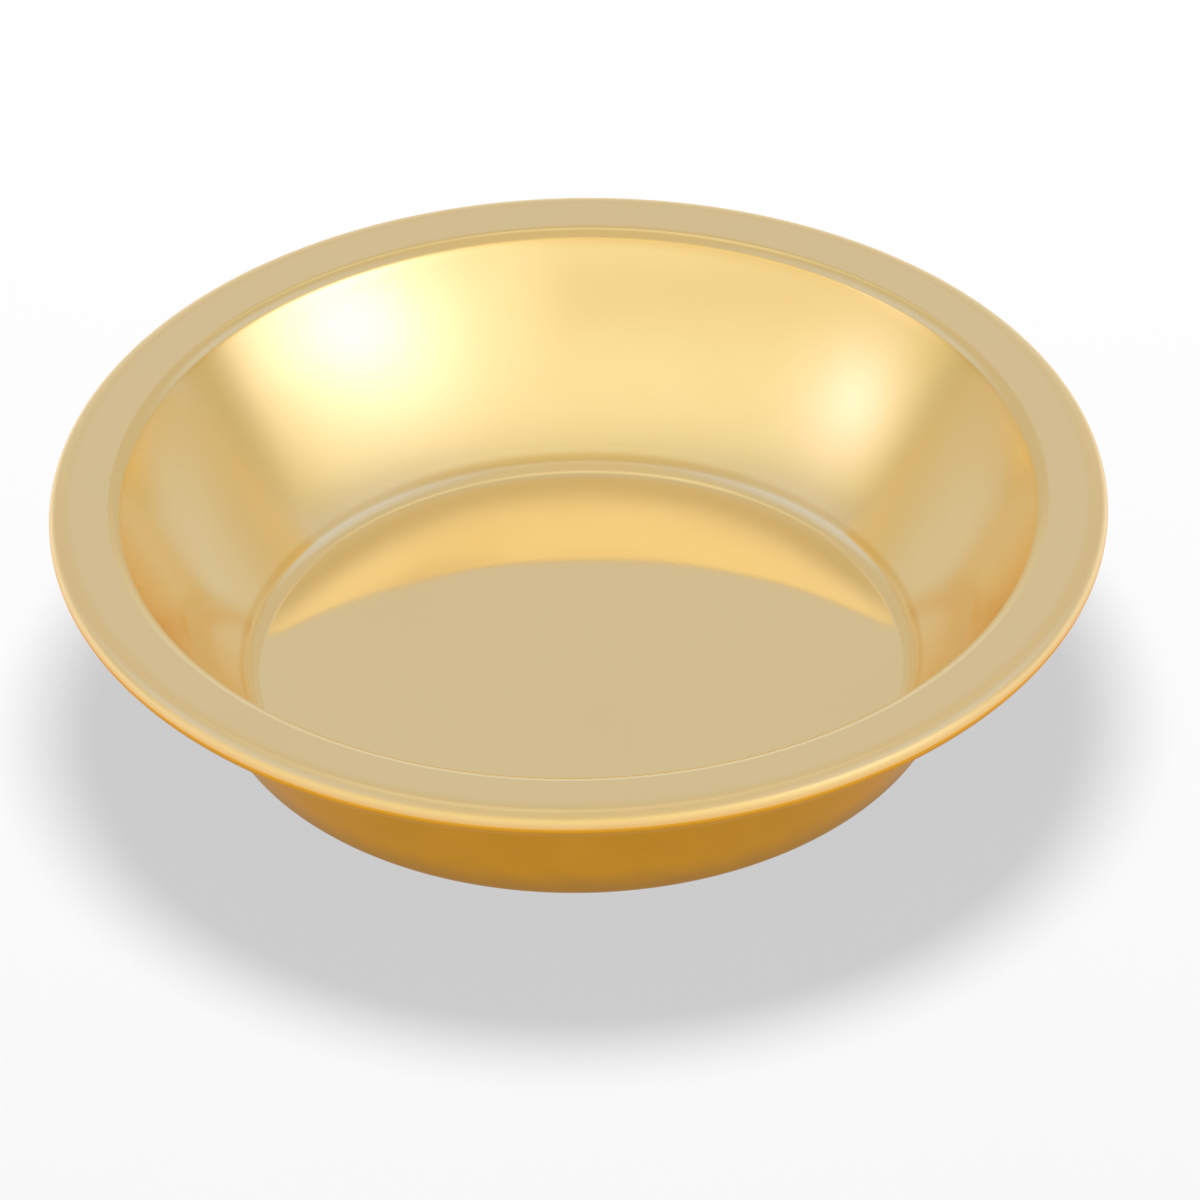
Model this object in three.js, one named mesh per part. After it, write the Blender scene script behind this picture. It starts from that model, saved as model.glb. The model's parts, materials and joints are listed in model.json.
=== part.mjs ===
// Dish paten: one disc of brass spun into a dish, gold-plated, its rim turned under round a wire.
// Millimetres, +Z up. The origin is the middle of the flat underside that the dish stands on.
import * as THREE from 'three';

// Driving dimensions of the dish
const dishDiameter = 146;
const dishHeight = 31.2;
const sheetThickness = 1.2; // of the rim and the bead; the wall grows thicker towards the foot
const floorThickness = 2.1;
const rimWidth = 7.7; // from the top of the shoulder to the outermost edge
const shoulderRadius = 2.45; // on the polished side, as is the corner's radius
const cornerRadius = 2.8;
const wallTiltAtMouth = THREE.MathUtils.degToRad(28); // of the polished side, from upright
const wallTiltAtFoot = THREE.MathUtils.degToRad(35.5);
const baseOverhang = 3.6; // how much further out the flat base reaches than the flat floor
const baseCornerRadius = 3.4;

// Driving dimensions of the wired edge
const wireDiameter = 1.4;
const wireClearance = 0.32; // all round the wire, inside the curl
const curlSlit = 0.4; // left between the turned-under end of the sheet and the rim

// How finely the round shapes are cut
const stepsAround = 80;
const cornerSteps = 4;
const wallSteps = 3;
const shoulderSteps = 4;
const beadQuarterSteps = 4;
const wireSides = 12;

// Sizes that follow from these
const quarterTurn = Math.PI / 2;
const wireRadius = wireDiameter / 2;
const beadRadius = wireRadius + wireClearance + sheetThickness;
const beadCentreRadius = dishDiameter / 2 - beadRadius;
const beadCentreHeight = dishHeight - beadRadius;
const curlEndTurn = quarterTurn - Math.acos(1 - (sheetThickness + curlSlit) / beadRadius);
const footSlope = quarterTurn - wallTiltAtFoot;
const mouthSlope = quarterTurn - wallTiltAtMouth;

// Finishes
const goldPlate = { color: 0xe3c27a, roughness: 0.1, metalness: 1 };
const drawnBrass = { color: 0xb5893f, roughness: 0.45, metalness: 1 };

// Adds equal chords to a section line. Heading 0 points away from the axis, and a left turn is positive.
function walk(line, chord, turn, steps) {
  const turnPerStep = turn / steps;
  for (let step = 0; step < steps; step += 1) {
    const last = line[line.length - 1];
    const direction = last.heading + turnPerStep / 2;
    line.push({
      radius: last.radius + chord * Math.cos(direction),
      height: last.height + chord * Math.sin(direction),
      heading: last.heading + turnPerStep,
    });
  }
}

function walkStraight(line, length) {
  walk(line, length, 0, 1);
}

function walkArc(line, radius, turn, steps) {
  const chord = 2 * radius * Math.sin(Math.abs(turn) / steps / 2);
  walk(line, chord, turn, steps);
}

// The sheet goes round three quarters of the bead in even steps, and a little further to its end.
function walkCurl(line, radius) {
  const quarters = 3;
  walkArc(line, radius, -quarters * quarterTurn, quarters * beadQuarterSteps);
  walkArc(line, radius, -curlEndTurn, 1);
}

// The wall is a very flat arc. Its chords are as long as its height needs, and its run follows from them.
function wallShape() {
  const cornerRise = cornerRadius * (1 - Math.cos(footSlope));
  const shoulderRise = shoulderRadius * (1 - Math.cos(mouthSlope));
  const rise = dishHeight - floorThickness - cornerRise - shoulderRise;
  const turn = mouthSlope - footSlope;
  let riseShare = 0;
  let runShare = 0;
  for (let step = 0; step < wallSteps; step += 1) {
    const slope = footSlope + (turn * (step + 1 / 2)) / wallSteps;
    riseShare += Math.sin(slope);
    runShare += Math.cos(slope);
  }
  const chord = rise / riseShare;
  return { chord, turn, run: chord * runShare };
}

// The polished side, from the axis over floor, corner, wall, shoulder and rim round the bead.
function polishedSide(wall, floorRadius) {
  const line = [{ radius: 0, height: floorThickness, heading: 0 }];
  walkStraight(line, floorRadius);
  walkArc(line, cornerRadius, footSlope, cornerSteps);
  walk(line, wall.chord, wall.turn, wallSteps);
  walkArc(line, shoulderRadius, -mouthSlope, shoulderSteps);
  walkStraight(line, rimWidth - beadRadius);
  walkCurl(line, beadRadius);
  return line;
}

// The satin side, from the axis over base, wall and shoulder to the inside of the curl. Its wall is straight
// and touches two round bends: the base's corner, and the shoulder one sheet thickness inside the polished one.
function satinSide(baseRadius) {
  const innerShoulderRadius = shoulderRadius - sheetThickness;
  const across = dishDiameter / 2 - rimWidth - baseRadius;
  const up = dishHeight - shoulderRadius - baseCornerRadius;
  const apart = Math.hypot(across, up);
  const bends = baseCornerRadius + innerShoulderRadius;
  const slope = Math.atan2(up, across) + Math.asin(bends / apart);
  const line = [{ radius: 0, height: 0, heading: 0 }];
  walkStraight(line, baseRadius);
  walkArc(line, baseCornerRadius, slope, cornerSteps);
  walkStraight(line, Math.sqrt(apart ** 2 - bends ** 2));
  walkArc(line, innerShoulderRadius, -slope, shoulderSteps);
  walkStraight(line, rimWidth - beadRadius);
  walkCurl(line, beadRadius - sheetThickness);
  return line;
}

function dish() {
  const wall = wallShape();
  const shoulderRun = shoulderRadius * Math.sin(mouthSlope);
  const cornerRun = cornerRadius * Math.sin(footSlope);
  const floorRadius = dishDiameter / 2 - rimWidth - shoulderRun - wall.run - cornerRun;
  const outwards = satinSide(floorRadius + baseOverhang);
  const backInwards = polishedSide(wall, floorRadius).reverse();
  const outline = [...outwards, ...backInwards].map((point) => new THREE.Vector2(point.radius, point.height));
  const mesh = new THREE.Mesh(
    new THREE.LatheGeometry(outline, stepsAround),
    new THREE.MeshStandardMaterial(goldPlate),
  );
  mesh.name = 'dish';
  mesh.rotation.x = quarterTurn; // the lathe turns round Y, and the dish stands on Z
  return mesh;
}

function rimWire() {
  const mesh = new THREE.Mesh(
    new THREE.TorusGeometry(beadCentreRadius, wireRadius, wireSides, stepsAround),
    new THREE.MeshStandardMaterial(drawnBrass),
  );
  mesh.name = 'rim_wire';
  mesh.position.z = beadCentreHeight;
  return mesh;
}

const paten = new THREE.Group();
paten.name = 'paten';
paten.add(dish(), rimWire());

export default paten;
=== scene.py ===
# A gold-plated dish paten: polished inside, satin outside, its rim turned under round a wire.
# Metres, +Z up. The origin is the middle of the flat underside that the dish stands on.
import json
import math

import bmesh
import bpy
from mathutils import Matrix, Vector


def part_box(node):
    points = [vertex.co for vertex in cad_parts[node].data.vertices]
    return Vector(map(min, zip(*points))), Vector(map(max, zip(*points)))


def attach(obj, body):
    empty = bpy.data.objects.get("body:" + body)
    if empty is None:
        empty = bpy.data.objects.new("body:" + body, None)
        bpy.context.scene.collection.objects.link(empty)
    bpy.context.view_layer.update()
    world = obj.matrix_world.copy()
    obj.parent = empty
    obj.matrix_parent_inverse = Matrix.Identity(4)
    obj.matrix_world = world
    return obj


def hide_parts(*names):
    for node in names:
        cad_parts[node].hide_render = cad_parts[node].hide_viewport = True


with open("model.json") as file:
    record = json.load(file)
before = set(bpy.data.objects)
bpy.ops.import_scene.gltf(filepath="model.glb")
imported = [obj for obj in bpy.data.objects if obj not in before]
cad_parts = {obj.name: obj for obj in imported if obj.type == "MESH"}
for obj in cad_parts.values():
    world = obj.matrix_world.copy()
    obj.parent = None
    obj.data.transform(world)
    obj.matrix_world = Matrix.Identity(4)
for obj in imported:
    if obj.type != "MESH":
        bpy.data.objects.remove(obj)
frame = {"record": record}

bl_info = {
    "name": "Dish paten",
    "version": (1, 0, 0),
    "blender": (4, 5, 0),
    "location": "View3D > Sidebar > Paten",
    "description": "Spins a gold-plated dish paten, lays the wire in its rim and lights it on a pale floor",
    "category": "Add Mesh",
}

MM = 0.001
FULL_TURN = 2 * math.pi
QUARTER_TURN = math.pi / 2

# What the frame says
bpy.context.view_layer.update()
DISH_LOW, DISH_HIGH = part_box("dish")
WIRE_LOW, WIRE_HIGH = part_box("rim_wire")
MOUNTS = {mount["name"]: mount for mount in frame["record"]["mounts"]}
DISH_RADIUS = (DISH_HIGH.x - DISH_LOW.x) / 2
DISH_HEIGHT = DISH_HIGH.z
FLOOR_THICKNESS = MOUNTS["well_floor"]["pos_m"][2]
WIRE_RADIUS = (WIRE_HIGH.z - WIRE_LOW.z) / 2
BEAD_CENTRE_HEIGHT = (WIRE_HIGH.z + WIRE_LOW.z) / 2
BEAD_CENTRE_RADIUS = WIRE_HIGH.x - WIRE_RADIUS
BEAD_RADIUS = DISH_HEIGHT - BEAD_CENTRE_HEIGHT

# Cuts between neighbouring points, fine enough for a mirror finish
STEPS_AROUND = 360
SECTORS = 12
FLOOR_STEPS = 24
CORNER_STEPS = 22
WALL_STEPS = 22
SHOULDER_STEPS = 16
RIM_STEPS = 6
BEAD_STEPS = 40
WIRE_SIDES = 20
MERGE_DISTANCE = 1e-7
SHARP_ANGLE = math.radians(40)

# Bands of painted shade on the polished side, up from the floor or down from the rim: begins, full, still
# full, ends
CORNER_BAND = (0.0, 0.04 * MM, 0.8 * MM, 1.3 * MM)
CREASE_BAND = (1.1 * MM, 1.5 * MM, 1.8 * MM, 2.6 * MM)
SHOULDER_BAND = (0.01 * MM, 0.1 * MM, 0.9 * MM, 1.6 * MM)

# Soft edges of the finish and of its painted light and shade: where each begins and ends
WALL_FOOT_EDGE = (0.0, 2.5 * MM)
WALL_MOUTH_EDGE = (0.0, 3.0 * MM)
BEAD_INNER_EDGE = (BEAD_CENTRE_RADIUS - 0.5 * BEAD_RADIUS, BEAD_CENTRE_RADIUS + 0.2 * BEAD_RADIUS)
BEAD_LOWER_EDGE = (BEAD_CENTRE_HEIGHT, BEAD_CENTRE_HEIGHT + 0.45 * BEAD_RADIUS)
HAZE_EDGE = (0.42, 0.72)
FOOT_TOP_EDGE = (1.5 * MM, 10 * MM)
FOOT_INNER_EDGE = (-20 * MM, 52 * MM)  # across the base, so that its middle keeps a little of the brown painted shade
FOOT_TOP_RAGGED = 4 * MM
FOOT_INNER_RAGGED = 8 * MM

# How much of the darker bend gold, which is painted shade, each bend takes
CORNER_SHARE = 0.45
CREASE_SHARE = 0.6
SHOULDER_SHARE = 0.65
BEAD_SHARE = 0.4
BEAD_LOWER_SHARE = 0.55  # of the satin gold, as painted shade on the bead's underside
HAZE_SHARE = 0.3

# Patterns of the finish: patches or lines in a metre, and how deep they are
HAZE_PATCHES = 34.0
BUFF_WAVES = 38.0
BUFF_WAVE_DEPTH = 0.06 * MM
TURNING_MARKS = 1900.0
TURNING_MARK_DEPTH = 0.0012 * MM
MOTTLE_PATCHES = 120.0
TOOL_MARKS = 2600.0
TOOL_MARK_CLIMB = 1.7  # marks on the wall, against marks on the base
TOOL_MARK_DEPTH = 0.006 * MM
SATIN_GRAINS = 2400.0
SATIN_GRAIN_DEPTH = 0.004 * MM
DRAWING_LINES = 9000.0
DRAWING_LINE_DEPTH = 0.008 * MM
TARNISH_SPOTS = 420.0
FLOOR_CLOUDS = 60.0

# What a pattern adds to the roughness where it is strongest
HAZE_DULLING = 0.02
TURNING_DULLING = 0.015
MOTTLE_DULLING = 0.06
TOOL_MARK_DULLING = 0.05
TARNISH_DULLING = 0.16

# What a pattern does to red, green and blue
HAZE_TINT = (1.0, 0.975, 0.92)
DARK_MOTTLE_TINT = (0.9, 0.9, 0.8)
PALE_MOTTLE_TINT = (1.06, 1.07, 1.2)
TARNISH_TINT = (0.82, 0.78, 0.7)
CLOUD_TINT = (0.995, 0.995, 0.995)

# Floor, light and camera
FLOOR_SPREAD = 40 * DISH_RADIUS
FLOOR_SIDES = 96
FLOOR_GAP = 0.05 * MM
FLOOR_ROUGHNESS = 0.9
FLOOR_GLOSS = 0.1
MIRROR_BOUNCES = 12  # so that light which runs round the polished wall isn't lost
CLIP_MARGIN = 10

# The light tent, by direction from the dish: right, back and up run from -1 to 1, and aside is right or left.
# Lift is up, from a plane that leans back. Side is back, from a plane that is turned a little.
LIFT_LEAN = 0.35
SIDE_TURN = 0.06
BACKDROP_FRONT = (0.55, 0.85)
BACKDROP_TOP = (0.38, 0.50)
BACKDROP_SIDES = (0.15, 0.55)
FLANK_SIDES = (0.27, 0.70)
FLANK_BAND = (0.25, 0.45, 0.78, 0.86)
FLANK_BACK = (0.17, 0.52)
FAR_FLANK_SIDES = (0.68, 0.80)
HEADER_SIDES = (0.22, 0.50)
HEADER_FOOT = (0.28, 0.33)
HEADER_BACK = (0.0, 0.12)
CANOPY_HEIGHT = (0.70, 0.80)
CANOPY_FRONT = (-0.04, 0.06)
CANOPY_BACK = (0.50, 0.62)
CANOPY_SIDES = (0.305, 0.340)
CANOPY_SLANT = 0.9
CANOPY_SLANT_EDGE = (0.06, 0.10)
HOLE_BACK = 0.50
HOLE_HALF_WIDTH = 0.27
HOLE_HALF_DEPTH = 0.30
HOLE_EDGE = (0.74, 1.18)
HOLE_HEM = (0.46, 0.62, 0.68, 0.80)
WINDOW_TOP = (0.264, 0.292)
WINDOW_BACK = (-0.03, 0.20)
BLIND_FOOT = (0.19, 0.262)
DULL_BAND_LIFT = 0.088
DULL_BAND_EDGE = (0.008, 0.08)
DULL_BAND_RIGHT = (-0.03, 0.30)
TOP_BAR = (0.270, 0.286, 0.294, 0.314)
SIDE_BAR = (-0.26, 0.34, 0.17, 0.44)
SIDE_BAR_TOP = (0.27, 0.30)
GLOW = {"azimuth": math.radians(57.0), "middle": 0.122, "half_width": 0.39, "half_height": 0.080}
SPARK = {"azimuth": math.radians(-77.5), "middle": 0.199, "half_width": 0.19, "half_height": 0.039}
PATCH_FRONT = (0.0, 0.1)


class PatenDish(bpy.types.PropertyGroup):
    """Sizes of the spun sheet."""

    sheet_thickness: bpy.props.FloatProperty(
        name="Sheet thickness",
        description="Of the rim and the bead; the wall grows thicker towards the foot",
        default=1.2 * MM, min=0.0005, unit="LENGTH",
    )
    rim_width: bpy.props.FloatProperty(
        name="Rim width",
        description="From the top of the shoulder to the outermost edge",
        default=7.7 * MM, min=0.004, unit="LENGTH",
    )
    shoulder_radius: bpy.props.FloatProperty(
        name="Shoulder radius",
        description="Polished side of the bend between wall and rim",
        default=2.45 * MM, min=0.0015, unit="LENGTH",
    )
    corner_radius: bpy.props.FloatProperty(
        name="Corner radius",
        description="Polished side of the bend between floor and wall",
        default=2.8 * MM, min=0.0005, unit="LENGTH",
    )
    tilt_at_mouth: bpy.props.FloatProperty(
        name="Wall tilt at the mouth",
        description="How far the top of the wall leans out from upright",
        default=math.radians(28), subtype="ANGLE",
    )
    tilt_at_foot: bpy.props.FloatProperty(
        name="Wall tilt at the foot",
        description="How far the bottom of the wall leans out from upright",
        default=math.radians(35.5), subtype="ANGLE",
    )
    base_overhang: bpy.props.FloatProperty(
        name="Base overhang",
        description="How much further out the flat base reaches than the flat floor",
        default=3.6 * MM, unit="LENGTH",
    )
    base_corner_radius: bpy.props.FloatProperty(
        name="Base corner radius",
        description="Bend between the flat base and the outside of the wall",
        default=3.4 * MM, min=0.0005, unit="LENGTH",
    )
    curl_end: bpy.props.FloatProperty(
        name="Curl end",
        description="How far the sheet goes round the bead, from the top",
        default=math.radians(286), subtype="ANGLE",
    )


class PatenFinish(bpy.types.PropertyGroup):
    """Colours and polish of the metal, with the painted light and shade in its colours."""

    polished_colour: bpy.props.FloatVectorProperty(
        name="Polished gold",
        description="Mirror of the inside and the rim",
        default=(1.0, 0.785, 0.44), size=3, min=0, max=1, subtype="COLOR",
    )
    # Painted light: paler gold on the wall, which lightens its reflections
    wall_painted_light_colour: bpy.props.FloatVectorProperty(
        name="Wall gold",
        description="Paler gold of the inside of the wall",
        default=(1.0, 0.84, 0.52), size=3, min=0, max=1, subtype="COLOR",
    )
    # Painted shade: darker gold in the corner, a ring above it, the shoulder and the bead, for shade and dark
    # reflections there
    bend_shade_colour: bpy.props.FloatVectorProperty(
        name="Bend gold",
        description="Deeper gold of the corner, the shoulder and the bead",
        default=(0.91, 0.645, 0.24), size=3, min=0, max=1, subtype="COLOR",
    )
    polished_roughness: bpy.props.FloatProperty(
        name="Polished roughness",
        description="Lowest roughness of the inside",
        default=0.05, min=0, max=1, subtype="FACTOR",
    )
    wall_roughness: bpy.props.FloatProperty(
        name="Wall roughness",
        description="How much duller the wall is than the floor and the rim",
        default=0.075, min=0, max=1, subtype="FACTOR",
    )
    bend_roughness: bpy.props.FloatProperty(
        name="Bend roughness",
        description="How much duller the corner and the shoulder are than the floor and the rim",
        default=0.14, min=0, max=1, subtype="FACTOR",
    )
    bead_roughness: bpy.props.FloatProperty(
        name="Bead roughness",
        description="How much duller the bead is than the inside",
        default=0.27, min=0, max=1, subtype="FACTOR",
    )
    # Partly the real satin finish; its deep amber is painted shade on the outside and the underside
    shaded_satin_colour: bpy.props.FloatVectorProperty(
        name="Satin gold",
        description="Deeper amber gold of the outside and the underside",
        default=(0.81, 0.385, 0.03), size=3, min=0, max=1, subtype="COLOR",
    )
    satin_edge_colour: bpy.props.FloatVectorProperty(
        name="Satin gold at a flat angle",
        description="What the satin gold does to light that it mirrors at a flat angle",
        default=(0.95, 0.8, 0.6), size=3, min=0, max=1, subtype="COLOR",
    )
    # Painted shade: browner towards the base, where the outside meets the floor
    foot_shade_colour: bpy.props.FloatVectorProperty(
        name="Foot gold",
        description="Browner tone of the outside near the base",
        default=(0.53, 0.27, 0.07), size=3, min=0, max=1, subtype="COLOR",
    )
    satin_roughness: bpy.props.FloatProperty(
        name="Satin roughness",
        description="Lowest roughness of the outside",
        default=0.26, min=0, max=1, subtype="FACTOR",
    )
    wire_colour: bpy.props.FloatVectorProperty(
        name="Drawn brass",
        description="Bare wire inside the rim's curl",
        default=(0.62, 0.42, 0.15), size=3, min=0, max=1, subtype="COLOR",
    )
    wire_roughness: bpy.props.FloatProperty(
        name="Wire roughness",
        description="Lowest roughness of the wire",
        default=0.34, min=0, max=1, subtype="FACTOR",
    )


class PatenStage(bpy.types.PropertyGroup):
    """Camera, floor and lamp."""

    elevation: bpy.props.FloatProperty(
        name="Camera elevation",
        description="How far the camera looks down on the dish",
        default=math.radians(36.4), subtype="ANGLE",
    )
    roll: bpy.props.FloatProperty(
        name="Camera roll",
        description="How far the camera leans to its right",
        default=math.radians(1.05), subtype="ANGLE",
    )
    distance: bpy.props.FloatProperty(
        name="Camera distance",
        description="From the lens to the middle of the rim",
        default=2.5, min=0.5, unit="LENGTH",
    )
    frame_width: bpy.props.FloatProperty(
        name="Frame width",
        description="What the picture is wide at the middle of the rim",
        default=165.3 * MM, unit="LENGTH",
    )
    aim_right: bpy.props.FloatProperty(
        name="Aim to the right",
        description="From the middle of the rim to the middle of the picture, across",
        default=2.75 * MM, unit="LENGTH",
    )
    aim_down: bpy.props.FloatProperty(
        name="Aim below",
        description="From the middle of the rim to the middle of the picture, downwards",
        default=14.3 * MM, unit="LENGTH",
    )
    floor_colour: bpy.props.FloatVectorProperty(
        name="Floor",
        description="Plain pale floor",
        default=(0.845, 0.845, 0.85), size=3, min=0, max=1, subtype="COLOR",
    )
    lamp_watts: bpy.props.FloatProperty(
        name="Lamp power",
        description="Power of the soft lamp overhead",
        default=6.95, min=0, unit="POWER",
    )
    lamp_size: bpy.props.FloatProperty(
        name="Lamp size",
        description="Across the round face of the lamp",
        default=0.6, min=0.01, unit="LENGTH",
    )
    lamp_distance: bpy.props.FloatProperty(
        name="Lamp distance",
        description="From the lamp to the dish",
        default=1.2, min=0.1, unit="LENGTH",
    )
    lamp_elevation: bpy.props.FloatProperty(
        name="Lamp elevation",
        description="How high the lamp hangs over the back of the dish",
        default=math.radians(72), subtype="ANGLE",
    )


class PatenLight(bpy.types.PropertyGroup):
    """Brightness and tint of each part of the light tent."""

    cloth: bpy.props.FloatVectorProperty(
        name="Grey cloth",
        description="All round, where nothing else hangs",
        default=(0.645, 0.640, 0.632), size=3, min=0, subtype="COLOR",
    )
    backdrop: bpy.props.FloatVectorProperty(
        name="Backdrop",
        description="Low behind the dish",
        default=(0.77, 0.81, 0.90), size=3, min=0, subtype="COLOR",
    )
    flank: bpy.props.FloatVectorProperty(
        name="Flanks",
        description="Cooler cloth at the left and the right",
        default=(0.68, 0.735, 0.95), size=3, min=0, subtype="COLOR",
    )
    far_flank: bpy.props.FloatVectorProperty(
        name="Far flanks",
        description="The coolest part of the flanks",
        default=(0.69, 0.78, 1.08), size=3, min=0, subtype="COLOR",
    )
    header: bpy.props.FloatVectorProperty(
        name="Header",
        description="Cloth above the window",
        default=(0.70, 0.67, 0.60), size=3, min=0, subtype="COLOR",
    )
    canopy: bpy.props.FloatVectorProperty(
        name="Canopy",
        description="Pale cloth overhead, round the camera's hole",
        default=(0.94, 0.95, 0.90), size=3, min=0, subtype="COLOR",
    )
    hem: bpy.props.FloatVectorProperty(
        name="Hem",
        description="Darker edge of the camera's hole",
        default=(0.58, 0.56, 0.44), size=3, min=0, subtype="COLOR",
    )
    window: bpy.props.FloatVectorProperty(
        name="Window",
        description="Broad bright window in front of the dish",
        default=(1.0, 0.93, 0.65), size=3, min=0, subtype="COLOR",
    )
    blind: bpy.props.FloatVectorProperty(
        name="Blind",
        description="Top of the window, a little darker",
        default=(0.97, 0.89, 0.63), size=3, min=0, subtype="COLOR",
    )
    dull_band: bpy.props.FloatVectorProperty(
        name="Dull band",
        description="Darker band across the left half of the window",
        default=(0.87, 0.74, 0.47), size=3, min=0, subtype="COLOR",
    )
    top_bar: bpy.props.FloatVectorProperty(
        name="Top bar",
        description="Dark bar over the window",
        default=(0.56, 0.45, 0.23), size=3, min=0, subtype="COLOR",
    )
    side_bar: bpy.props.FloatVectorProperty(
        name="Side bars",
        description="Dark cloth at both ends of the window",
        default=(0.59, 0.47, 0.20), size=3, min=0, subtype="COLOR",
    )
    glow: bpy.props.FloatVectorProperty(
        name="Glow",
        description="Large bright patch at the right of the window",
        default=(2.15, 1.95, 2.05), size=3, min=0, subtype="COLOR",
    )
    spark: bpy.props.FloatVectorProperty(
        name="Spark",
        description="Small bright patch at the left of the window",
        default=(1.45, 1.3, 1.4), size=3, min=0, subtype="COLOR",
    )


class Value:
    """One output of a shader node. Sums on it add Math nodes."""

    def __init__(self, nodes, socket):
        self.nodes = nodes
        self.socket = socket

    def __add__(self, other):
        return self.nodes.maths("ADD", self, other)

    def __radd__(self, other):
        return self.nodes.maths("ADD", other, self)

    def __sub__(self, other):
        return self.nodes.maths("SUBTRACT", self, other)

    def __rsub__(self, other):
        return self.nodes.maths("SUBTRACT", other, self)

    def __mul__(self, other):
        return self.nodes.maths("MULTIPLY", self, other)

    def __rmul__(self, other):
        return self.nodes.maths("MULTIPLY", other, self)

    def __truediv__(self, other):
        return self.nodes.maths("DIVIDE", self, other)

    def __pow__(self, other):
        return self.nodes.maths("POWER", self, other)


class Nodes:
    """Writes one node tree."""

    def __init__(self, tree):
        self.tree = tree
        tree.nodes.clear()

    def node(self, kind, settings=None, inputs=None, output=0):
        """Adds a node. Its settings come first, then the values or links of its sockets."""
        made = self.tree.nodes.new(kind)
        for name, setting in (settings or {}).items():
            setattr(made, name, setting)
        for name, given in (inputs or {}).items():
            if isinstance(given, Value):
                self.tree.links.new(given.socket, made.inputs[name])
            else:
                made.inputs[name].default_value = given
        if not made.outputs:
            return made
        return Value(self, made.outputs[output])

    def maths(self, operation, first, second=0.0):
        return self.node("ShaderNodeMath", {"operation": operation}, {0: first, 1: second})

    def smooth(self, value, low, high):
        """0 below low, 1 above high and a soft step between."""
        settings = {"interpolation_type": "SMOOTHSTEP"}
        return self.node("ShaderNodeMapRange", settings, {0: value, 1: low, 2: high})

    def between(self, value, low, full, falling, high):
        """1 from full to falling, and 0 below low and above high."""
        return self.smooth(value, low, full) * (1 - self.smooth(value, falling, high))

    def mix_colours(self, share, first, second):
        return self.node("ShaderNodeMix", {"data_type": "RGBA"}, {0: share, 6: first, 7: second}, output=2)

    def place(self):
        """Where a point lies on the object, or the direction in which a ray meets the light tent."""
        return self.node("ShaderNodeTexCoord", output=3)

    def parts(self, vector):
        apart = self.node("ShaderNodeSeparateXYZ", inputs={0: vector})
        return [Value(self, socket) for socket in apart.socket.node.outputs]

    def noise(self, place, scale, detail):
        return self.node("ShaderNodeTexNoise", {"noise_dimensions": "3D"}, {
            "Vector": place, "Scale": scale, "Detail": detail, "Roughness": 0.5,
        })

    def rings(self, measure, scale):
        """Fine noise that runs round the dish, because it changes only with the measure."""
        return self.node("ShaderNodeTexNoise", {"noise_dimensions": "1D"}, {
            "W": measure, "Scale": scale, "Detail": 3.0,
        })

    def bump(self, height, distance, under=None):
        inputs = {"Height": height, "Distance": distance, "Strength": 1.0}
        if under is not None:
            inputs["Normal"] = under
        return self.node("ShaderNodeBump", inputs=inputs)


def new_material(name):
    material = bpy.data.materials.new(name)
    material.use_nodes = True
    return material, Nodes(material.node_tree)


def opaque(colour):
    return (*colour, 1.0)


def tinted(colour, tint):
    return opaque(min(1.0, part * factor) for part, factor in zip(colour, tint))


def radius_and_height(nodes, place):
    """How far a point lies from the axis that the dish was spun on, and how far above its base."""
    x, y, height = nodes.parts(place)
    across = nodes.node("ShaderNodeCombineXYZ", inputs={0: x, 1: y})
    radius = nodes.node("ShaderNodeVectorMath", {"operation": "LENGTH"}, {0: across}, output=1)
    return radius, height


def finish_metal(nodes, colour, roughness, normal, edge_colour=(1.0, 1.0, 1.0)):
    surface = nodes.node("ShaderNodeBsdfPrincipled", inputs={
        "Base Color": colour, "Metallic": 1.0, "Roughness": roughness, "Normal": normal,
        "Specular Tint": opaque(edge_colour),
    })
    nodes.node("ShaderNodeOutputMaterial", inputs={"Surface": surface})


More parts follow.
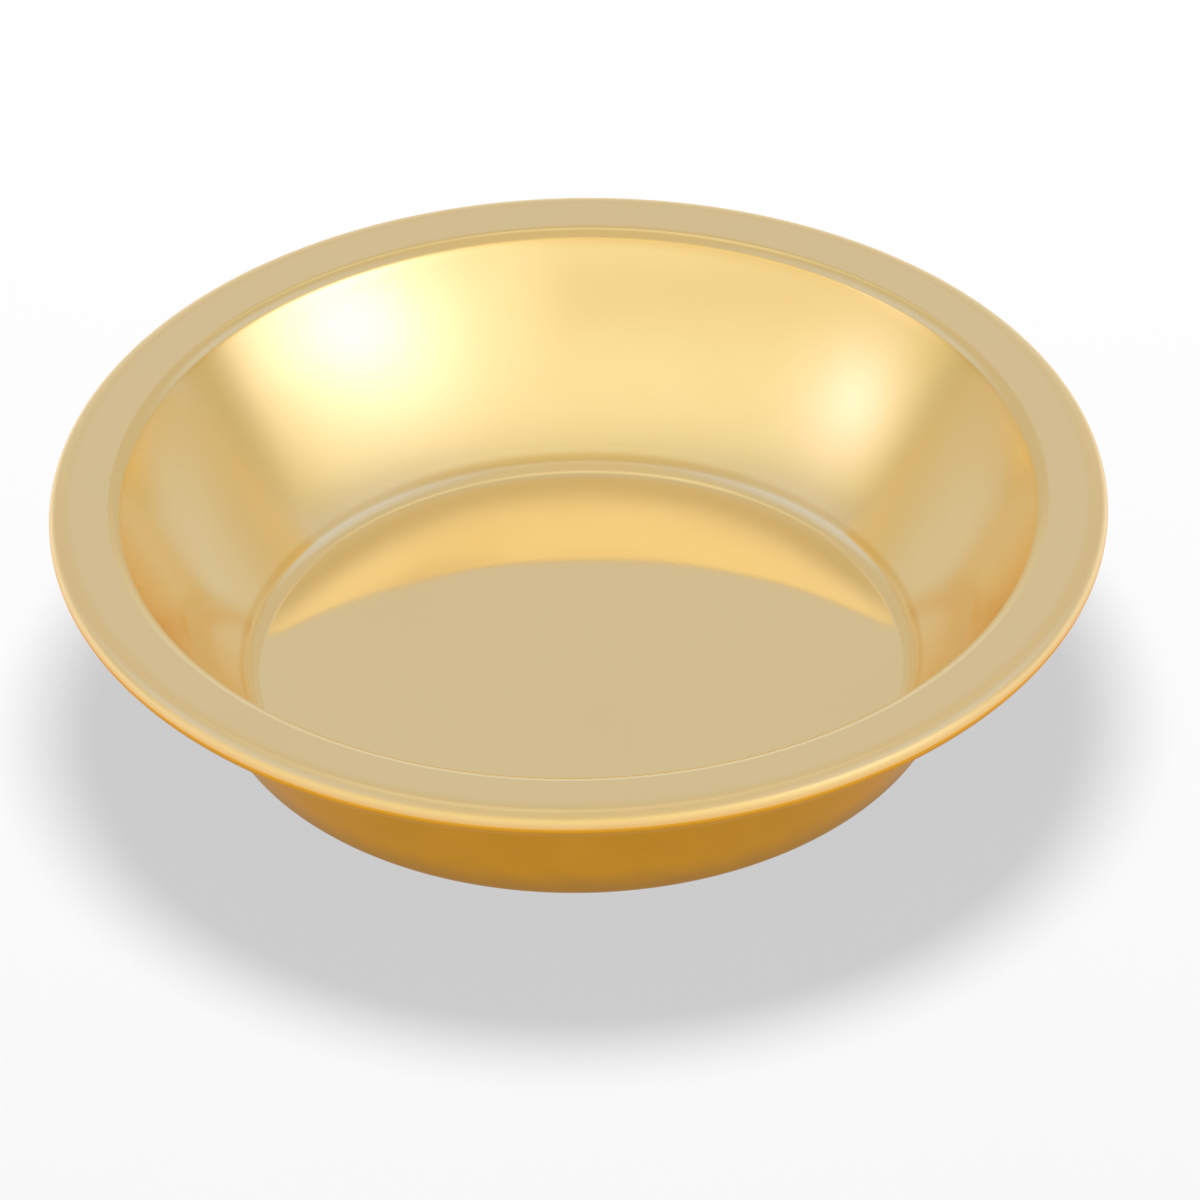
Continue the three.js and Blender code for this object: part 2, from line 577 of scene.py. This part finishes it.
def polished_gold(finish):
    """Mirror gold: waves from the buff, turning marks and finger haze. The wall is painted paler, painted
    light on its reflections.
    The bends and the bead are duller, and painted shade darkens the corner, a ring above it, the shoulder and
    the bead; the bead's lower edge goes over into the satin gold's painted shade."""
    material, nodes = new_material("polished_gold")
    place = nodes.place()
    radius, height = radius_and_height(nodes, place)
    above_floor = height - FLOOR_THICKNESS
    below_rim = DISH_HEIGHT - height
    haze = nodes.smooth(nodes.noise(place, HAZE_PATCHES, 3.0), *HAZE_EDGE)
    turning = nodes.rings(radius, TURNING_MARKS)
    waves = nodes.noise(place, BUFF_WAVES, 1.0)
    wall = nodes.smooth(above_floor, *WALL_FOOT_EDGE) * nodes.smooth(below_rim, *WALL_MOUTH_EDGE)
    bead = nodes.smooth(radius, *BEAD_INNER_EDGE)
    # Painted shade: the bead's lower half takes some of the shaded satin gold
    bead_underside_shade = (1 - nodes.smooth(height, *BEAD_LOWER_EDGE)) * bead
    corner = nodes.between(above_floor, *CORNER_BAND)
    crease_shade = nodes.between(above_floor, *CREASE_BAND)
    shoulder = nodes.between(below_rim, *SHOULDER_BAND) * (1 - bead)
    # Painted shade in the corner, a ring above it, the shoulder and the bead
    painted_shade = corner * CORNER_SHARE + crease_shade * CREASE_SHARE + shoulder * SHOULDER_SHARE + bead * BEAD_SHARE
    # Painted light: the wall takes the paler gold
    gold = nodes.mix_colours(wall, opaque(finish.polished_colour), opaque(finish.wall_painted_light_colour))
    gold = nodes.mix_colours(haze * HAZE_SHARE, gold, tinted(finish.polished_colour, HAZE_TINT))
    gold = nodes.mix_colours(painted_shade, gold, opaque(finish.bend_shade_colour))
    gold = nodes.mix_colours(bead_underside_shade * BEAD_LOWER_SHARE, gold, opaque(finish.shaded_satin_colour))
    roughness = finish.polished_roughness + haze * HAZE_DULLING + turning * TURNING_DULLING
    roughness = roughness + wall * finish.wall_roughness + bead * finish.bead_roughness
    roughness = roughness + (corner + shoulder) * finish.bend_roughness
    uneven = nodes.bump(waves, BUFF_WAVE_DEPTH)
    normal = nodes.bump(turning, TURNING_MARK_DEPTH, uneven)
    finish_metal(nodes, gold, roughness, normal)
    return material


def shaded_satin_gold(finish):
    """Satin gold: tool marks round the dish, a fine grain and a mottled tone whose deep amber is painted
    shade, browner still at the foot with painted shade.
    """
    material, nodes = new_material("shaded_satin_gold")
    place = nodes.place()
    radius, height = radius_and_height(nodes, place)
    mottle = nodes.noise(place, MOTTLE_PATCHES, 3.0)
    marks = nodes.rings(radius + height * TOOL_MARK_CLIMB, TOOL_MARKS)
    grain = nodes.noise(place, SATIN_GRAINS, 2.0)
    # Painted shade: browner towards the base
    foot = 1 - nodes.smooth(height + mottle * FOOT_TOP_RAGGED, *FOOT_TOP_EDGE)
    foot = foot * nodes.smooth(radius + mottle * FOOT_INNER_RAGGED, *FOOT_INNER_EDGE)
    # The mottle is the metal's own; the deep amber under it is painted shade
    dark = tinted(finish.shaded_satin_colour, DARK_MOTTLE_TINT)
    pale = tinted(finish.shaded_satin_colour, PALE_MOTTLE_TINT)
    tone = nodes.mix_colours(mottle, dark, pale)
    tone = nodes.mix_colours(foot, tone, opaque(finish.foot_shade_colour))
    roughness = finish.satin_roughness + mottle * MOTTLE_DULLING + marks * TOOL_MARK_DULLING
    fine = nodes.bump(grain, SATIN_GRAIN_DEPTH)
    normal = nodes.bump(marks, TOOL_MARK_DEPTH, fine)
    finish_metal(nodes, tone, roughness, normal, finish.satin_edge_colour)
    return material


def drawn_brass(finish):
    """Bare brass wire: dull, with faint lines along it."""
    material, nodes = new_material("drawn_brass")
    place = nodes.place()
    radius, _ = radius_and_height(nodes, place)
    lines = nodes.rings(radius, DRAWING_LINES)
    tarnish = nodes.noise(place, TARNISH_SPOTS, 3.0)
    tone = nodes.mix_colours(tarnish, tinted(finish.wire_colour, TARNISH_TINT), opaque(finish.wire_colour))
    normal = nodes.bump(lines, DRAWING_LINE_DEPTH)
    finish_metal(nodes, tone, finish.wire_roughness + tarnish * TARNISH_DULLING, normal)
    return material


class Pen:
    """Draws one side of the sheet as a line of edges in the plane y = 0, from the axis outwards."""

    def __init__(self, work, height):
        self.work = work
        self.tip = bmesh.ops.create_vert(work, co=(0.0, 0.0, height))["vert"][0]
        self.heading = 0.0
        self.drawn = [self.tip]

    def straight(self, length, steps):
        along = Vector((math.cos(self.heading), 0.0, math.sin(self.heading)))
        for _ in range(steps):
            made = bmesh.ops.extrude_vert_indiv(self.work, verts=[self.tip])
            self.tip = made["verts"][0]
            self.drawn += made["verts"] + made["edges"]
            bmesh.ops.translate(self.work, verts=[self.tip], vec=along * (length / steps))

    def arc(self, radius, turn, steps):
        """Turns left where turn is positive, and right where it is negative."""
        leftwards = Vector((-math.sin(self.heading), 0.0, math.cos(self.heading)))
        centre = self.tip.co + leftwards * math.copysign(radius, turn)
        old = set(self.work.verts) | set(self.work.edges)
        made = bmesh.ops.spin(
            self.work, geom=[self.tip], cent=centre, axis=(0.0, -1.0, 0.0), angle=turn, steps=steps,
        )
        self.tip = next(part for part in made["geom_last"] if isinstance(part, bmesh.types.BMVert))
        self.drawn += [part for part in [*self.work.verts, *self.work.edges] if part not in old]
        self.heading += turn


def draw_curl(pen, sizes, behind):
    """The rim's flat part and the bead, on the polished side or that far behind it."""
    pen.straight(sizes.rim_width - BEAD_RADIUS, RIM_STEPS)
    pen.arc(BEAD_RADIUS - behind, -sizes.curl_end, BEAD_STEPS)


def draw_polished_side(work, sizes):
    """Floor, corner, wall, shoulder, rim and bead. Returns the pen and the floor's radius."""
    foot = QUARTER_TURN - sizes.tilt_at_foot
    mouth = QUARTER_TURN - sizes.tilt_at_mouth
    corner_rise = sizes.corner_radius * (1 - math.cos(foot))
    shoulder_rise = sizes.shoulder_radius * (1 - math.cos(mouth))
    rise = DISH_HEIGHT - FLOOR_THICKNESS - corner_rise - shoulder_rise
    chord = rise / math.sin((foot + mouth) / 2)
    wall_run = chord * math.cos((foot + mouth) / 2)
    wall_radius = chord / (2 * math.sin((mouth - foot) / 2))
    bends_run = sizes.corner_radius * math.sin(foot) + sizes.shoulder_radius * math.sin(mouth)
    floor_radius = DISH_RADIUS - sizes.rim_width - bends_run - wall_run
    pen = Pen(work, FLOOR_THICKNESS)
    pen.straight(floor_radius, FLOOR_STEPS)
    pen.arc(sizes.corner_radius, foot, CORNER_STEPS)
    pen.arc(abs(wall_radius), mouth - foot, WALL_STEPS)
    pen.arc(sizes.shoulder_radius, -mouth, SHOULDER_STEPS)
    draw_curl(pen, sizes, 0.0)
    return pen, floor_radius


def draw_satin_side(work, sizes, base_radius):
    """Base, its corner, a straight wall that touches both bends, shoulder and the inside of the curl."""
    inner_shoulder = sizes.shoulder_radius - sizes.sheet_thickness
    across = DISH_RADIUS - sizes.rim_width - base_radius
    up = DISH_HEIGHT - sizes.shoulder_radius - sizes.base_corner_radius
    apart = math.hypot(across, up)
    bends = sizes.base_corner_radius + inner_shoulder
    slope = math.atan2(up, across) + math.asin(bends / apart)
    pen = Pen(work, 0.0)
    pen.straight(base_radius, FLOOR_STEPS)
    pen.arc(sizes.base_corner_radius, slope, CORNER_STEPS)
    pen.straight(math.sqrt(apart ** 2 - bends ** 2), WALL_STEPS)
    pen.arc(inner_shoulder, -slope, SHOULDER_STEPS)
    draw_curl(pen, sizes, sizes.sheet_thickness)
    return pen


def spin_round(work, line):
    """Spins a section line round the dish's axis: one sector, then copies of it. Returns the new faces."""
    old = set(work.faces)
    axis = {"cent": (0.0, 0.0, 0.0), "axis": (0.0, 0.0, 1.0)}
    sector = FULL_TURN / SECTORS
    bmesh.ops.spin(work, geom=line, angle=sector, steps=STEPS_AROUND // SECTORS, **axis)
    faces = [face for face in work.faces if face not in old]
    parts = {*faces}
    for face in faces:
        parts.update(face.edges)
        parts.update(face.verts)
    rest = SECTORS - 1
    bmesh.ops.spin(work, geom=list(parts), angle=sector * rest, steps=rest, use_duplicate=True, **axis)
    return [face for face in work.faces if face not in old]


def close_shell(work):
    bmesh.ops.remove_doubles(work, verts=work.verts, dist=MERGE_DISTANCE)
    bmesh.ops.dissolve_degenerate(work, edges=work.edges, dist=MERGE_DISTANCE)
    bmesh.ops.recalc_face_normals(work, faces=work.faces)
    for face in work.faces:
        face.smooth = True
    for edge in work.edges:
        edge.smooth = len(edge.link_faces) == 2 and edge.calc_face_angle() < SHARP_ANGLE


def make_object(work, name, materials):
    mesh = bpy.data.meshes.new(name)
    work.to_mesh(mesh)
    work.free()
    for material in materials:
        mesh.materials.append(material)
    made = bpy.data.objects.new(name, mesh)
    bpy.context.scene.collection.objects.link(made)
    return made


def make_piece(work, name, node, materials):
    piece = make_object(work, name, materials)
    piece.visible_diffuse = False  # the gold throws no tinted light into its grey shadow
    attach(piece, "root")
    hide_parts(node)


def spun_dish(sizes, finish):
    work = bmesh.new()
    polished, floor_radius = draw_polished_side(work, sizes)
    satin = draw_satin_side(work, sizes, floor_radius + sizes.base_overhang)
    satin.heading += QUARTER_TURN
    satin.straight(sizes.sheet_thickness, 1)  # the sheet's cut end, inside the bead
    spin_round(work, polished.drawn)
    for face in spin_round(work, satin.drawn):
        face.material_index = 1
    close_shell(work)
    for face in work.faces:
        if face.normal.z < 0:
            face.material_index = 1
    make_piece(work, "spun_dish", "dish", [polished_gold(finish), shaded_satin_gold(finish)])


def wire_ring(finish):
    work = bmesh.new()
    upright = Matrix.Rotation(QUARTER_TURN, 4, "X")
    place = Matrix.Translation((BEAD_CENTRE_RADIUS, 0.0, BEAD_CENTRE_HEIGHT))
    made = bmesh.ops.create_circle(work, segments=WIRE_SIDES, radius=WIRE_RADIUS, matrix=place @ upright)
    line = made["verts"] + list({edge for vert in made["verts"] for edge in vert.link_edges})
    spin_round(work, line)
    close_shell(work)
    make_piece(work, "wire_ring", "rim_wire", [drawn_brass(finish)])


def pale_floor(stage):
    work = bmesh.new()
    bmesh.ops.create_circle(
        work, cap_ends=True, segments=FLOOR_SIDES, radius=FLOOR_SPREAD,
        matrix=Matrix.Translation((0.0, 0.0, -FLOOR_GAP)),
    )
    material, nodes = new_material("pale_floor")
    clouds = nodes.noise(nodes.place(), FLOOR_CLOUDS, 3.0)
    tone = nodes.mix_colours(clouds, opaque(stage.floor_colour), tinted(stage.floor_colour, CLOUD_TINT))
    surface = nodes.node("ShaderNodeBsdfPrincipled", inputs={
        "Base Color": tone, "Roughness": FLOOR_ROUGHNESS, "Specular IOR Level": FLOOR_GLOSS,
    })
    nodes.node("ShaderNodeOutputMaterial", inputs={"Surface": surface})
    make_object(work, "pale_floor", [material])


class Directions:
    """Where a direction points from the dish, for the masks of the light tent."""

    def __init__(self, nodes):
        self.nodes = nodes
        self.right, self.back, self.up = nodes.parts(nodes.place())
        self.aside = nodes.maths("ABSOLUTE", self.right)
        self.lift = self.up + LIFT_LEAN * self.back
        self.side = self.back + SIDE_TURN * self.right

    def patch(self, azimuth, middle, half_width, half_height):
        """1 in the middle of a soft oval, at an azimuth turned to the right from the camera's side."""
        across = self.right * math.cos(azimuth) + self.back * math.sin(azimuth)
        along = self.right * math.sin(azimuth) - self.back * math.cos(azimuth)
        away = (across / half_width) ** 2 + ((self.lift - middle) / half_height) ** 2
        return self.nodes.maths("EXPONENT", away * -1.0) * self.nodes.smooth(along, *PATCH_FRONT)


def tent_walls(nodes, towards, light):
    """The backdrop, both flanks and the cloth above the window, each as a mask and its light."""
    backdrop = nodes.smooth(towards.back, *BACKDROP_FRONT) * (1 - nodes.smooth(towards.up, *BACKDROP_TOP))
    backdrop = backdrop * (1 - nodes.smooth(towards.aside, *BACKDROP_SIDES))
    flank = nodes.smooth(towards.aside, *FLANK_SIDES) * nodes.between(towards.lift, *FLANK_BAND)
    flank = flank * (1 - nodes.smooth(towards.back, *FLANK_BACK))
    far_flank = nodes.smooth(towards.aside, *FAR_FLANK_SIDES) * flank
    header = (1 - nodes.smooth(towards.aside, *HEADER_SIDES)) * nodes.smooth(towards.lift, *HEADER_FOOT)
    header = header * (1 - nodes.smooth(towards.back, *HEADER_BACK))
    return [
        (backdrop, light.backdrop), (flank, light.flank), (far_flank, light.far_flank),
        (header, light.header),
    ]


def tent_canopy(nodes, towards, light):
    """The pale cloth overhead and the hem of the camera's hole in it, each as a mask and its light."""
    from_hole = (towards.back - HOLE_BACK) / HOLE_HALF_DEPTH
    hole = (towards.right / HOLE_HALF_WIDTH) ** 2 + from_hole ** 2
    overhead = nodes.smooth(towards.up, *CANOPY_HEIGHT)
    reach = nodes.smooth(towards.back, *CANOPY_FRONT) * (1 - nodes.smooth(towards.back, *CANOPY_BACK))
    reach = reach * (1 - nodes.smooth(towards.aside, *CANOPY_SIDES))
    slant = towards.right - CANOPY_SLANT * towards.back
    reach = reach * (1 - nodes.smooth(slant, *CANOPY_SLANT_EDGE))
    canopy = nodes.smooth(hole, *HOLE_EDGE) * overhead * reach
    hem = nodes.between(hole, *HOLE_HEM) * overhead
    return [(canopy, light.canopy), (hem, light.hem)]


def tent_window(nodes, towards, light):
    """The window with its shades, bars and bright patches, each as a mask and its light."""
    ahead = 1 - nodes.smooth(towards.side, *WINDOW_BACK)
    window = (1 - nodes.smooth(towards.lift, *WINDOW_TOP)) * ahead
    blind = nodes.smooth(towards.lift, *BLIND_FOOT) * window
    from_band = nodes.maths("ABSOLUTE", towards.lift - DULL_BAND_LIFT)
    dull_band = (1 - nodes.smooth(from_band, *DULL_BAND_EDGE)) * window
    dull_band = dull_band * (1 - nodes.smooth(towards.right, *DULL_BAND_RIGHT))
    top_bar = nodes.between(towards.lift, *TOP_BAR) * ahead
    side_bar = nodes.between(towards.side, *SIDE_BAR) * (1 - nodes.smooth(towards.lift, *SIDE_BAR_TOP))
    glow = towards.patch(**GLOW) * window
    spark = towards.patch(**SPARK) * window
    return [
        (window, light.window), (blind, light.blind), (dull_band, light.dull_band), (top_bar, light.top_bar),
        (side_bar, light.side_bar), (glow, light.glow), (spark, light.spark),
    ]


def light_tent(light):
    """Grey cloth all round, and what hangs in front of it, the later parts over the earlier ones."""
    world = bpy.data.worlds.new("light_tent")
    world.use_nodes = True
    bpy.context.scene.world = world
    nodes = Nodes(world.node_tree)
    towards = Directions(nodes)
    seen = opaque(light.cloth)
    for hang in (tent_walls, tent_canopy, tent_window):
        for mask, part_light in hang(nodes, towards, light):
            seen = nodes.mix_colours(mask, seen, opaque(part_light))
    shine = nodes.node("ShaderNodeBackground", inputs={"Color": seen, "Strength": 1.0})
    nodes.node("ShaderNodeOutputWorld", inputs={"Surface": shine})


def from_dish(azimuth, elevation, distance):
    """A place seen from the dish, at an azimuth turned to the right from the camera's side."""
    return distance * Vector((
        math.sin(azimuth) * math.cos(elevation),
        -math.cos(azimuth) * math.cos(elevation),
        math.sin(elevation),
    ))


def hang_lamp(stage):
    lamp = bpy.data.lights.new("overhead", "AREA")
    lamp.shape = "DISK"
    lamp.size = stage.lamp_size
    lamp.energy = stage.lamp_watts
    holder = bpy.data.objects.new("overhead", lamp)
    holder.location = from_dish(math.pi, stage.lamp_elevation, stage.lamp_distance)
    holder.rotation_euler = (-holder.location).to_track_quat("-Z", "Y").to_euler()
    holder.visible_glossy = False  # the gold mirrors the tent and not the lamp
    holder.visible_camera = False
    bpy.context.scene.collection.objects.link(holder)


def set_camera(stage):
    lens = bpy.data.cameras.new("camera")
    camera = bpy.data.objects.new("camera", lens)
    bpy.context.scene.collection.objects.link(camera)
    bpy.context.scene.camera = camera
    backwards = from_dish(0.0, stage.elevation, 1.0)
    turn = backwards.to_track_quat("Z", "Y")
    right = turn @ Vector((1.0, 0.0, 0.0))
    up = turn @ Vector((0.0, 1.0, 0.0))
    aim = Vector((0.0, 0.0, DISH_HEIGHT)) + right * stage.aim_right - up * stage.aim_down
    camera.location = aim + backwards * stage.distance
    camera.rotation_mode = "QUATERNION"
    camera.rotation_quaternion = turn @ Matrix.Rotation(-stage.roll, 3, "Z").to_quaternion()
    lens.lens = lens.sensor_width * stage.distance / stage.frame_width
    lens.clip_start = stage.distance / CLIP_MARGIN
    lens.clip_end = stage.distance * CLIP_MARGIN


class PATEN_OT_stage(bpy.types.Operator):
    """Sets up the camera, the pale floor and the light"""

    bl_idname = "paten.stage"
    bl_label = "Set the stage"

    def execute(self, context):
        context.scene.view_settings.view_transform = "Standard"
        context.scene.cycles.glossy_bounces = MIRROR_BOUNCES
        set_camera(context.scene.paten_stage)
        pale_floor(context.scene.paten_stage)
        light_tent(context.scene.paten_light)
        hang_lamp(context.scene.paten_stage)
        return {"FINISHED"}


class PATEN_OT_dish(bpy.types.Operator):
    """Spins the sheet into the dish, with its rim curled under"""

    bl_idname = "paten.dish"
    bl_label = "Spin the dish"

    def execute(self, context):
        spun_dish(context.scene.paten_dish, context.scene.paten_finish)
        return {"FINISHED"}


class PATEN_OT_wire(bpy.types.Operator):
    """Lays the brass wire in the rim's curl"""

    bl_idname = "paten.wire"
    bl_label = "Lay the rim wire"

    def execute(self, context):
        wire_ring(context.scene.paten_finish)
        return {"FINISHED"}


class PATEN_PT_sidebar(bpy.types.Panel):
    bl_idname = "PATEN_PT_sidebar"
    bl_label = "Dish paten"
    bl_space_type = "VIEW_3D"
    bl_region_type = "UI"
    bl_category = "Paten"

    def draw(self, context):
        for name, group in GROUPS.items():
            box = self.layout.box()
            for setting in group.__annotations__:
                box.prop(getattr(context.scene, name), setting)
        for operator in OPERATORS:
            self.layout.operator(operator.bl_idname)


GROUPS = {
    "paten_dish": PatenDish,
    "paten_finish": PatenFinish,
    "paten_stage": PatenStage,
    "paten_light": PatenLight,
}
OPERATORS = (PATEN_OT_stage, PATEN_OT_dish, PATEN_OT_wire)


def register():
    for name, group in GROUPS.items():
        bpy.utils.register_class(group)
        setattr(bpy.types.Scene, name, bpy.props.PointerProperty(type=group))
    for operator in OPERATORS:
        bpy.utils.register_class(operator)
    bpy.utils.register_class(PATEN_PT_sidebar)


def unregister():
    bpy.utils.unregister_class(PATEN_PT_sidebar)
    for operator in reversed(OPERATORS):
        bpy.utils.unregister_class(operator)
    for name, group in reversed(GROUPS.items()):
        delattr(bpy.types.Scene, name)
        bpy.utils.unregister_class(group)


def main():
    register()
    bpy.ops.paten.stage()
    bpy.ops.paten.dish()
    bpy.ops.paten.wire()


if __name__ == "__main__":
    main()
